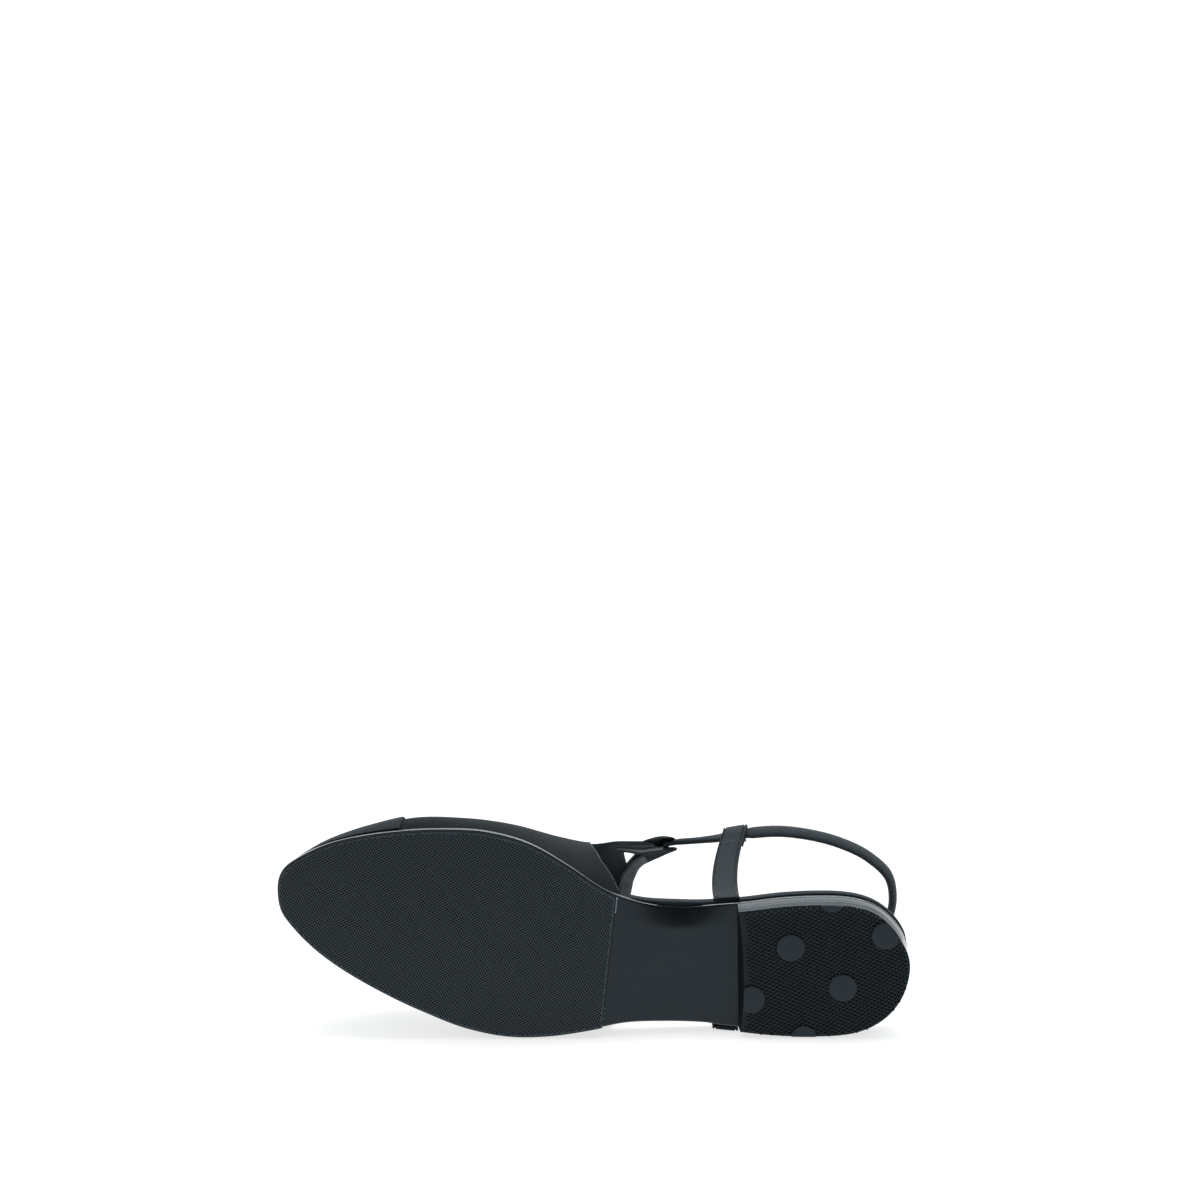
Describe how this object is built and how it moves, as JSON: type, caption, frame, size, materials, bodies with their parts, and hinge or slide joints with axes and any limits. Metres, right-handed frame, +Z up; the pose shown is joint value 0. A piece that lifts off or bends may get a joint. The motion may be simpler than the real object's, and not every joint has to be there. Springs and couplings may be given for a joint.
{
  "type": "slingback shoe",
  "caption": "Flat round-toed slingback for the right foot with a toe cap, side straps folded into loops and an elastic band round the heel, lying on its outer side.",
  "frame": {"origin": "on the floor, under the middle of the box of the shoe as it lies on its outer side", "axes": "+X from the toe towards the heel, +Y from the sole towards the foot's opening, +Z up, towards the inner side of the shoe"},
  "size_m": [0.2636, 0.0808, 0.0903],
  "materials": {
    "outsole": "satin black sole leather",
    "tread": "matte black with a fine diamond tread",
    "heel_block": "polished black edge",
    "top_lift": "matte black with small round nubs",
    "insole": "matte black wrapped footbed",
    "upper": "matte black textile",
    "toe_cap": "matte black ribbed textile",
    "strap": "black ribbed tape with stitched edges",
    "sling": "black ribbed elastic"
  },
  "bodies": {
    "root": {"outsole": "outsole", "forefoot_tread": "tread", "heel_block": "heel_block", "heel_top_lift": "top_lift", "insole": "insole", "upper": "upper", "toe_cap": "toe_cap", "inner_strap": "strap", "outer_strap": "strap", "sling": "sling"}
  },
  "joints": []
}
